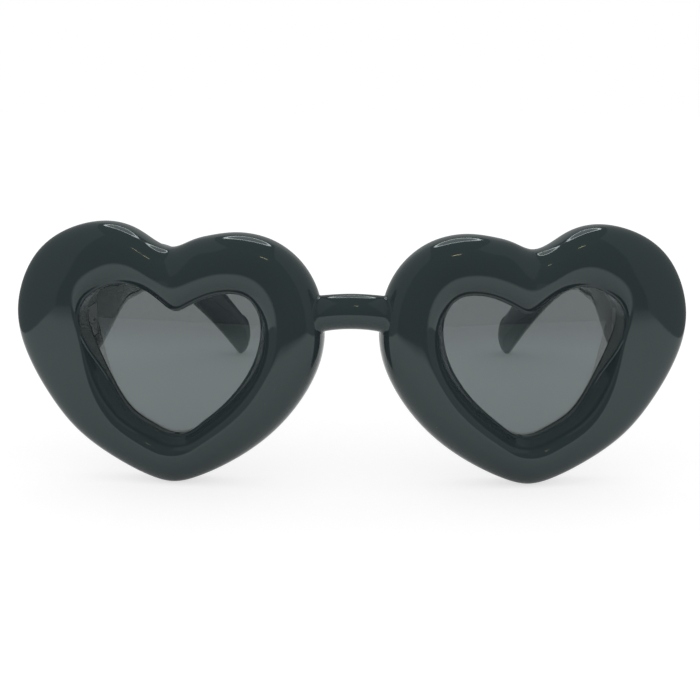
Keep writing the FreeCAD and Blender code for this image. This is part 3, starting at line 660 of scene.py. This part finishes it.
def temple_arm():
    """Right temple: tall root, tapering arm, drop behind the ear and rounded tip."""
    distances = [-ROOT_THICKNESS, 0.0, ROOT_LENGTH / 2]
    arm_steps = 60
    distances += [between(ROOT_LENGTH, TIP_CORNER, step / arm_steps) for step in range(arm_steps + 1)]
    distances += [TIP_CORNER + TIP_ROUND * share for share in (0.25, 0.5, 0.68, 0.82, 0.91, 0.97, 0.995)]
    temple = loft("temple_arm_right", [temple_loop(distance) for distance in distances], MODEL_TO_FRAME,
                  closed=False)
    reach = HEART_WIDTH
    mitre = block((AXIS_IN_HEART.x - reach / 2, AXIS_IN_HEART.y - reach, -reach),
                  (AXIS_IN_HEART.x + reach / 2, AXIS_IN_HEART.y, 2 * reach), HEART_TO_FRAME)
    combine(temple, mitre, "DIFFERENCE")
    inner_flat = block((FLAT_SIDE - reach, AXIS.y - reach, -reach),
                       (FLAT_SIDE, AXIS.y + ROOT_LENGTH + FLARE_LENGTH, 2 * reach), MODEL_TO_FRAME)
    combine(temple, inner_flat, "DIFFERENCE")
    pocket = block((FLAT_SIDE - LEAF_PLAY, AXIS.y - LEAF_PLAY, LEAF_FOOT - LEAF_PLAY),
                   (AXIS.x + BARREL_RADIUS, TEMPLE_PLATE + TEMPLE_LEAF_LENGTH + LEAF_PLAY,
                    LEAF_FOOT + LEAF_HEIGHT + LEAF_PLAY), MODEL_TO_FRAME)
    combine(temple, pocket, "DIFFERENCE")
    combine(temple, barrel_room(AXIS, MODEL_TO_FRAME), "DIFFERENCE")
    smooth(temple, degrees=35)
    return temple


def hinge_pin():
    """Slotted screw that the hinge turns on."""
    foot = LEAF_FOOT - PIN_TAIL
    top = LEAF_FOOT + LEAF_HEIGHT
    crown = top + PIN_HEAD_HEIGHT
    # Radii and heights from the foot up: rounded tail, shank, and a head with a domed crown
    profile = [(PIN_RADIUS * 0.6, foot), (PIN_RADIUS * 0.9, foot + 0.1), (PIN_RADIUS, foot + 0.25),
               (PIN_RADIUS, top), (PIN_HEAD_RADIUS - 0.08, top), (PIN_HEAD_RADIUS, top + 0.1),
               (PIN_HEAD_RADIUS, crown - 0.28), (PIN_HEAD_RADIUS - 0.07, crown - 0.12),
               (PIN_HEAD_RADIUS - 0.25, crown - 0.03), (PIN_HEAD_RADIUS * 0.5, crown)]
    place = MODEL_TO_FRAME @ Matrix.Translation((AXIS.x, AXIS.y, 0))
    pin = turned("hinge_pin_right", profile, place)
    slot = block((-PIN_HEAD_RADIUS * 2, -DRIVE_WIDTH / 2, crown - DRIVE_DEPTH),
                 (PIN_HEAD_RADIUS * 2, DRIVE_WIDTH / 2, crown + CUT_PAST),
                 place @ Matrix.Rotation(PIN_TURN, 4, "Z"))
    combine(pin, slot, "DIFFERENCE")
    smooth(pin, degrees=40)
    return pin


def leaf_screw(name, place, turn):
    """Small screw with a cross drive, its head's face at the place's origin and its shank along minus Z."""
    tail = -LEAF_THICKNESS - SCREW_BITE
    # Radii and heights from the tail up: pointed tail, shank, and a flat head with a broken edge
    profile = [(SCREW_RADIUS * 0.5, tail), (SCREW_RADIUS, tail + 0.6), (SCREW_RADIUS, -SCREW_HEAD_HEIGHT),
               (SCREW_HEAD_RADIUS, -SCREW_HEAD_HEIGHT), (SCREW_HEAD_RADIUS, -0.1),
               (SCREW_HEAD_RADIUS - 0.1, 0.0), (SCREW_HEAD_RADIUS * 0.7, 0.0)]
    screw = turned(name, profile, place, sides=40)
    reach = SCREW_HEAD_RADIUS * CROSS_SHARE
    for quarter in (0, 1):
        arm = block((-reach, -DRIVE_WIDTH / 2, -DRIVE_DEPTH), (reach, DRIVE_WIDTH / 2, CUT_PAST),
                    place @ Matrix.Rotation(turn + quarter * math.pi / 2, 4, "Z"))
        combine(screw, arm, "DIFFERENCE")
    smooth(screw, degrees=40)
    return screw


def front_leaf_screws():
    """Two screws that hold the front leaf on its seat."""
    screws = []
    facing_back = Matrix.Rotation(-math.pi / 2, 4, "X")
    for side, turn in ((-1, 0.3), (1, 1.0)):
        head = Matrix.Translation((FRONT_PLATE + FRONT_LEAF_LENGTH / 2, SEAT_FACE,
                                   HINGE_HEIGHT + side * FRONT_SCREW_SPACING / 2))
        screws.append(leaf_screw("leaf_screws_front_right", HEART_TO_FRAME @ head @ facing_back, turn))
    return join(screws)


def temple_leaf_screws():
    """Two screws that hold the other leaf in the temple."""
    screws = []
    facing_in = Matrix.Rotation(-math.pi / 2, 4, "Y")
    for side, turn in ((-1, 0.5), (1, 0.1)):
        head = Matrix.Translation((FLAT_SIDE, TEMPLE_PLATE + TEMPLE_LEAF_LENGTH / 2
                                   + side * TEMPLE_SCREW_SPACING / 2, HINGE_HEIGHT))
        screws.append(leaf_screw("leaf_screws_temple_right", MODEL_TO_FRAME @ head @ facing_in, turn))
    return join(screws)


# Finishes
class Value:
    """Output of a shader node, on which Python's operators add Math nodes."""

    def __init__(self, finish, socket):
        self.finish = finish
        self.socket = socket

    def maths(self, operation, first, second):
        return self.finish.add("ShaderNodeMath", {"operation": operation}, {0: first, 1: second})

    def __add__(self, other):
        return self.maths("ADD", self, other)

    def __radd__(self, other):
        return self.maths("ADD", other, self)

    def __sub__(self, other):
        return self.maths("SUBTRACT", self, other)

    def __rsub__(self, other):
        return self.maths("SUBTRACT", other, self)

    def __mul__(self, other):
        return self.maths("MULTIPLY", self, other)

    def __rmul__(self, other):
        return self.maths("MULTIPLY", other, self)

    def __gt__(self, other):
        return self.maths("GREATER_THAN", self, other)

    def __lt__(self, other):
        return self.maths("LESS_THAN", self, other)


class Finish:
    """Node material, or the world, built up node by node."""

    def __init__(self, owner):
        owner.use_nodes = True
        self.owner = owner
        self.tree = owner.node_tree
        self.tree.nodes.clear()

    def add(self, kind, settings, sockets, output=0):
        """New node: its settings first, then the values or links of its sockets. Gives one of its outputs."""
        node = self.tree.nodes.new(kind)
        for name, setting in settings.items():
            setattr(node, name, setting)
        for name, value in sockets.items():
            if isinstance(value, Value):
                self.tree.links.new(value.socket, node.inputs[name])
            else:
                node.inputs[name].default_value = value
        if not node.outputs:
            return None
        return Value(self, node.outputs[output])

    def blend(self, first, second, share):
        """Colour between two colours."""
        return self.add("ShaderNodeMix", {"data_type": "RGBA"}, {0: share, 6: first, 7: second}, output=2)

    def place(self):
        """Place on the object, in metres."""
        return self.add("ShaderNodeTexCoord", {}, {}, output="Object")

    def noise(self, place, scale, detail, roughness=0.5):
        return self.add("ShaderNodeTexNoise", {}, {"Vector": place, "Scale": scale, "Detail": detail,
                                                   "Roughness": roughness})

    def surface(self, sockets):
        """Principled surface as the material's output."""
        shader = self.add("ShaderNodeBsdfPrincipled", {}, sockets)
        self.add("ShaderNodeOutputMaterial", {}, {"Surface": shader})
        return self.owner


def shade(colour, factor):
    return (*[channel * factor for channel in colour], 1)


BLACK_PLASTIC = (0.032, 0.045, 0.047)
PLASTIC_TINT = (0.86, 1, 1, 1)
SMEAR_DULLNESS = 0.05
DUST = (0.24, 0.25, 0.25, 1)
DUST_COVER = 0.6
DUST_DULLNESS = 0.3
SPECK_SCALE = 420
SPECK_SIZE = 0.035
SPECK_RARITY = 0.93
LENS_SMOKE = (0.138, 0.154, 0.157, 1)
LENS_SMOKE_PALER = (0.148, 0.164, 0.167, 1)
LENS_TINT = (0.78, 1, 1, 1)
LENS_SMEAR = 0.012


def gloss_black(name, gloss, peel):
    """Moulded black plastic: deep gloss, faint flow marks, a trace of orange peel and a few dust specks."""
    finish = Finish(bpy.data.materials.new(name))
    place = finish.place()
    flow = finish.noise(place, scale=45, detail=3)
    smear = finish.noise(place, scale=110, detail=4, roughness=0.62)
    colour = finish.blend(shade(BLACK_PLASTIC, 0.92), shade(BLACK_PLASTIC, 1.08), flow)
    cells = {"Vector": place, "Scale": SPECK_SCALE}
    from_speck = finish.add("ShaderNodeTexVoronoi", {}, cells, output="Distance")
    lot = finish.add("ShaderNodeTexVoronoi", {}, cells, output="Color")
    chosen = finish.add("ShaderNodeSeparateColor", {}, {0: lot}) > SPECK_RARITY
    dust = (from_speck < SPECK_SIZE) * chosen
    colour = finish.blend(colour, DUST, dust * DUST_COVER)
    roughness = gloss + SMEAR_DULLNESS * smear * smear + DUST_DULLNESS * dust
    ripple = finish.noise(place, scale=260, detail=1)
    bump = finish.add("ShaderNodeBump", {}, {"Strength": 0.5, "Distance": peel, "Height": ripple})
    return finish.surface({"Base Color": colour, "Roughness": roughness, "IOR": 1.5, "Normal": bump,
                           "Specular Tint": PLASTIC_TINT})


def smoke_lens(name):
    """Flat smoke grey lens, clear through, with the faintest of smears."""
    finish = Finish(bpy.data.materials.new(name))
    place = finish.place()
    tint = finish.noise(place, scale=30, detail=2)
    colour = finish.blend(LENS_SMOKE, LENS_SMOKE_PALER, tint)
    smear = finish.noise(place, scale=90, detail=3)
    return finish.surface({"Base Color": colour, "Roughness": LENS_SMEAR * smear, "IOR": 1.58,
                           "Transmission Weight": 1.0, "Specular Tint": LENS_TINT})


def nickel(name, colour, grain):
    """Nickel plated metal with a fine brushed grain."""
    finish = Finish(bpy.data.materials.new(name))
    place = finish.place()
    drawn = finish.add("ShaderNodeMapping", {}, {"Vector": place, "Scale": (1, 1, 0.12)})
    brushed = finish.noise(drawn, scale=grain, detail=4, roughness=0.6)
    worn = finish.noise(place, scale=500, detail=3)
    tone = finish.blend(shade(colour, 0.82), shade(colour, 1.05), worn)
    bump = finish.add("ShaderNodeBump", {}, {"Strength": 0.25, "Distance": 0.00002, "Height": brushed})
    return finish.surface({"Base Color": tone, "Metallic": 1.0, "Roughness": 0.2 + 0.2 * brushed,
                           "Normal": bump})


# The pieces on their bodies
rim_black = gloss_black("rim_black", gloss=0.045, peel=0.000004)
cover_black = gloss_black("cover_black", gloss=0.07, peel=0.000005)
temple_black = gloss_black("temple_black", gloss=0.05, peel=0.000004)
lens_smoke = smoke_lens("lens_smoke")
hinge_nickel = nickel("hinge_nickel", colour=(0.36, 0.38, 0.38), grain=5000)
screw_nickel = nickel("screw_nickel", colour=(0.44, 0.46, 0.46), grain=9000)


def dress(piece, finish, body, node):
    """Give a piece its finish, and put it on its body in place of a node."""
    piece.data.materials.clear()
    piece.data.materials.append(finish)
    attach(piece, body)
    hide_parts(node)


dress(puffed_front(), rim_black, "front", "front_moulding")
cover_right = rim_back()
cover_left = mirrored(cover_right, "rim_back_left")
arm_right = temple_arm()
arm_left = mirrored(arm_right, "temple_arm_left", FOLD_LEFT)
pin_right = hinge_pin()
pin_left = mirrored(pin_right, "hinge_pin_left")
front_screws_right = front_leaf_screws()
front_screws_left = mirrored(front_screws_right, "leaf_screws_front_left")
temple_screws_right = temple_leaf_screws()
temple_screws_left = mirrored(temple_screws_right, "leaf_screws_temple_left", FOLD_LEFT)
for piece in (arm_right, temple_screws_right):
    piece.data.transform(FOLD_RIGHT)
for side, cover, arm, pin, front_screws, temple_screws in (
        ("right", cover_right, arm_right, pin_right, front_screws_right, temple_screws_right),
        ("left", cover_left, arm_left, pin_left, front_screws_left, temple_screws_left)):
    temple = "temple_" + side
    dress(cover, cover_black, "front", "back_cover_" + side)
    dress(arm, temple_black, temple, temple)
    dress(pin, screw_nickel, "front", "hinge_screw_" + side)
    dress(front_screws, screw_nickel, "front", "front_leaf_screws_" + side)
    dress(temple_screws, screw_nickel, temple, "temple_leaf_screws_" + side)
    for node, finish in (("lens_", lens_smoke), ("hinge_front_leaf_", hinge_nickel),
                         ("hinge_temple_leaf_", hinge_nickel)):
        slots = frame["nodes"][node + side].data.materials
        slots.clear()
        slots.append(finish)


# The light box: white table, grey sides and back, dark top, ring lamp, and a dark room with a warm lamp
FLOOR_FRONT = -0.262
# How far the painted shade reaches in from the table's front edge, and how dark it is there, as reflections
# see it
FLOOR_FADE = 0.06
FLOOR_FADED = 0.4
TABLE_REACH = 1.6
TABLE_PALE = (0.44, 0.44, 0.44, 1)
TABLE_PALER = (0.46, 0.46, 0.46, 1)
TABLE_LIFT = 0.68
REFLECTED_WHITE = (0.9, 0.9, 0.9, 1)
REFLECTED_LIFT = 0.25
NO_LIGHT = (0, 0, 0, 1)
BOX_HALF = 0.17
BOX_BACK = 0.36
BOX_TOP = 0.42
HALL_FRONT = -1.5
HALL_TOP = 1.2
HALL_FLOOR = -0.001
RING_MIDDLE = (0, 0.165, 0.40)
RING_RADIUS = 0.12
RING_WIDTH = 0.022
RING_SIDES = 96
WARM_LAMP = (0.1, -0.68, 0.62)
WARM_HALF_WIDTH = 0.05
WARM_HALF_HEIGHT = 0.02
SURROUND = 0.85
SURROUND_MORE_WHERE_SEEN = 0.15


def panel(name, corners, finish):
    """Flat stage panel from four corners."""
    deselect()
    bpy.ops.mesh.primitive_plane_add(size=1)
    sheet = bpy.context.object
    sheet.name = name
    for vertex, corner in zip(sheet.data.vertices, corners):
        vertex.co = corner
    sheet.data.materials.append(finish)
    return sheet


def seen_directly(finish):
    """One for what is seen, reflected or looked at through a lens; nought for light that falls on things."""
    path = finish.tree.nodes.new("ShaderNodeLightPath")
    camera_ray, glossy_ray, lens_ray = [Value(finish, path.outputs[name]) for name in (
        "Is Camera Ray", "Is Glossy Ray", "Is Transmission Ray")]
    return finish.add("ShaderNodeMath", {"operation": "ADD", "use_clamp": True},
                      {0: camera_ray + glossy_ray, 1: lens_ray})


def white_table():
    """White paper with the object's shadow, lifted to white where it is seen, and with painted shade in
    reflections: there it darkens towards its front edge.
    """
    finish = Finish(bpy.data.materials.new("white_table"))
    path = finish.tree.nodes.new("ShaderNodeLightPath")
    reflected = Value(finish, path.outputs["Is Glossy Ray"])
    place = finish.place()
    grain = finish.noise(place, scale=300, detail=2)
    depth = finish.add("ShaderNodeSeparateXYZ", {}, {0: place}, output="Y")
    # Painted shade: as reflections see it, the table darkens towards its front edge
    fade = finish.add("ShaderNodeMapRange", {"interpolation_type": "SMOOTHSTEP"},
                      {"Value": depth, "From Min": FLOOR_FRONT, "From Max": FLOOR_FRONT + FLOOR_FADE,
                       "To Min": FLOOR_FADED, "To Max": 1.0})
    pale = finish.blend(TABLE_PALE, TABLE_PALER, grain)
    reflected_white = finish.blend(NO_LIGHT, REFLECTED_WHITE, fade)
    white = finish.blend(pale, reflected_white, reflected)
    paper = finish.add("ShaderNodeBsdfDiffuse", {}, {"Color": white})
    # The painted shade lowers the lift that reflections see towards the front edge as well
    level = TABLE_LIFT - reflected * (TABLE_LIFT - REFLECTED_LIFT * fade)
    lift = finish.add("ShaderNodeEmission", {}, {"Strength": seen_directly(finish) * level})
    both = finish.add("ShaderNodeAddShader", {}, {0: paper, 1: lift})
    finish.add("ShaderNodeOutputMaterial", {}, {"Surface": both})
    return finish.owner


def glow(name, colour, strength):
    """Even glow of a wall or lamp."""
    finish = Finish(bpy.data.materials.new(name))
    light = finish.add("ShaderNodeEmission", {}, {"Color": (*colour, 1), "Strength": strength})
    finish.add("ShaderNodeOutputMaterial", {}, {"Surface": light})
    return finish.owner


def only_reflected(sheet):
    """Let only reflections see a stage piece."""
    sheet.visible_camera = False
    sheet.visible_diffuse = False
    sheet.visible_transmission = False
    sheet.visible_shadow = False


def box_panel(name, corners, finish):
    """Stage panel that only reflections see."""
    only_reflected(panel(name, corners, finish))


def ring_lamp():
    """Flat ring of light under the box's top, and the paler shade inside it."""
    inside = RING_RADIUS - RING_WIDTH / 2
    deselect()
    bpy.ops.mesh.primitive_circle_add(vertices=RING_SIDES, radius=inside)
    ring = bpy.context.object
    ring.name = "ring_lamp"
    bpy.ops.object.mode_set(mode="EDIT")
    bpy.ops.mesh.select_all(action="SELECT")
    bpy.ops.mesh.extrude_edges_move()
    widen = (RING_RADIUS + RING_WIDTH / 2) / inside
    bpy.ops.transform.resize(value=(widen, widen, 1))
    bpy.ops.object.mode_set(mode="OBJECT")
    ring.data.materials.append(glow("ring_glow", colour=(1, 1, 1), strength=5.0))
    deselect()
    bpy.ops.mesh.primitive_circle_add(vertices=RING_SIDES, radius=inside, fill_type="NGON")
    shade_inside = bpy.context.object
    shade_inside.name = "lamp_shade"
    shade_inside.data.materials.append(glow("shade_glow", colour=(0.95, 1, 1), strength=0.9))
    for lamp in (ring, shade_inside):
        lamp.data.transform(Matrix.Translation(RING_MIDDLE))
        only_reflected(lamp)


def edge_across(half, depth, height, middle=0):
    """Left and right corner of a panel's edge that runs across the stage."""
    return [(middle - half, depth, height), (middle + half, depth, height)]


def stage():
    """Table, light box, dark room and lamps."""
    panel("table", edge_across(TABLE_REACH, FLOOR_FRONT, 0) + edge_across(TABLE_REACH, TABLE_REACH, 0),
          white_table())
    hall = glow("dark_hall", colour=(0.11, 0.12, 0.125), strength=1.0)
    grey = glow("grey_side", colour=(0.28, 0.29, 0.29), strength=1.0)
    dark = glow("dark_top", colour=(0.09, 0.1, 0.1), strength=1.0)
    dim = glow("dim_back", colour=(0.34, 0.36, 0.36), strength=1.0)
    warm = glow("warm_glow", colour=(1, 0.78, 0.42), strength=9.0)
    across, front, height = WARM_LAMP
    box_panel("warm_lamp", edge_across(WARM_HALF_WIDTH, front, height - WARM_HALF_HEIGHT, across)
              + edge_across(WARM_HALF_WIDTH, front, height + WARM_HALF_HEIGHT, across), warm)
    box_top = edge_across(BOX_HALF, FLOOR_FRONT, BOX_TOP)
    box_top_back = edge_across(BOX_HALF, BOX_BACK, BOX_TOP)
    hall_top = edge_across(TABLE_REACH, HALL_FRONT, HALL_TOP)
    box_panel("box_top", box_top + box_top_back, dark)
    box_panel("box_back", edge_across(BOX_HALF, BOX_BACK, 0) + box_top_back, dim)
    box_panel("hall_floor", edge_across(TABLE_REACH, HALL_FRONT, HALL_FLOOR)
              + edge_across(TABLE_REACH, FLOOR_FRONT, HALL_FLOOR), hall)
    box_panel("hall_front", edge_across(TABLE_REACH, HALL_FRONT, 0) + hall_top, hall)
    box_panel("hall_top", hall_top + box_top, hall)
    for side in (-1, 1):
        box_edge = side * BOX_HALF
        hall_edge = side * TABLE_REACH
        box_panel("box_side", [(box_edge, FLOOR_FRONT, 0), (box_edge, BOX_BACK, 0),
                               (box_edge, FLOOR_FRONT, BOX_TOP), (box_edge, BOX_BACK, BOX_TOP)], grey)
        box_panel("hall_side", [(hall_edge, HALL_FRONT, 0), (hall_edge, HALL_FRONT, HALL_TOP),
                                (box_edge, FLOOR_FRONT, 0), (box_edge, FLOOR_FRONT, BOX_TOP)], hall)
    ring_lamp()


def studio_light():
    """Even white surround."""
    world = bpy.data.worlds.new("white_surround")
    bpy.context.scene.world = world
    finish = Finish(world)
    strength = SURROUND + SURROUND_MORE_WHERE_SEEN * seen_directly(finish)
    light = finish.add("ShaderNodeBackground", {}, {"Color": (1, 1, 1, 1), "Strength": strength})
    finish.add("ShaderNodeOutputWorld", {}, {"Surface": light})


CAMERA_DISTANCE = 0.35194
CAMERA_ELEVATION = math.radians(11.196)
CAMERA_ROLL = math.radians(0.4215)
CAMERA_AIM = Vector((-0.000395, STAND.translation.y, 0.03161))
CAMERA_LENS = 81.73
CAMERA_SENSOR = 36
CAMERA_NEAR = 0.01


def camera():
    """Camera at the photograph's viewing angle."""
    view = bpy.data.cameras.new("camera")
    view.lens = CAMERA_LENS
    view.sensor_width = CAMERA_SENSOR
    view.clip_start = CAMERA_NEAR
    eye = bpy.data.objects.new("camera", view)
    bpy.context.scene.collection.objects.link(eye)
    back = Vector((0, -math.cos(CAMERA_ELEVATION), math.sin(CAMERA_ELEVATION)))
    eye.location = CAMERA_AIM + back * CAMERA_DISTANCE
    level = Matrix.Rotation(math.pi / 2 - CAMERA_ELEVATION, 3, "X")
    eye.rotation_euler = (level @ Matrix.Rotation(CAMERA_ROLL, 3, "Z")).to_euler()
    bpy.context.scene.camera = eye


stage()
studio_light()
camera()
bpy.context.scene.view_settings.view_transform = "Standard"
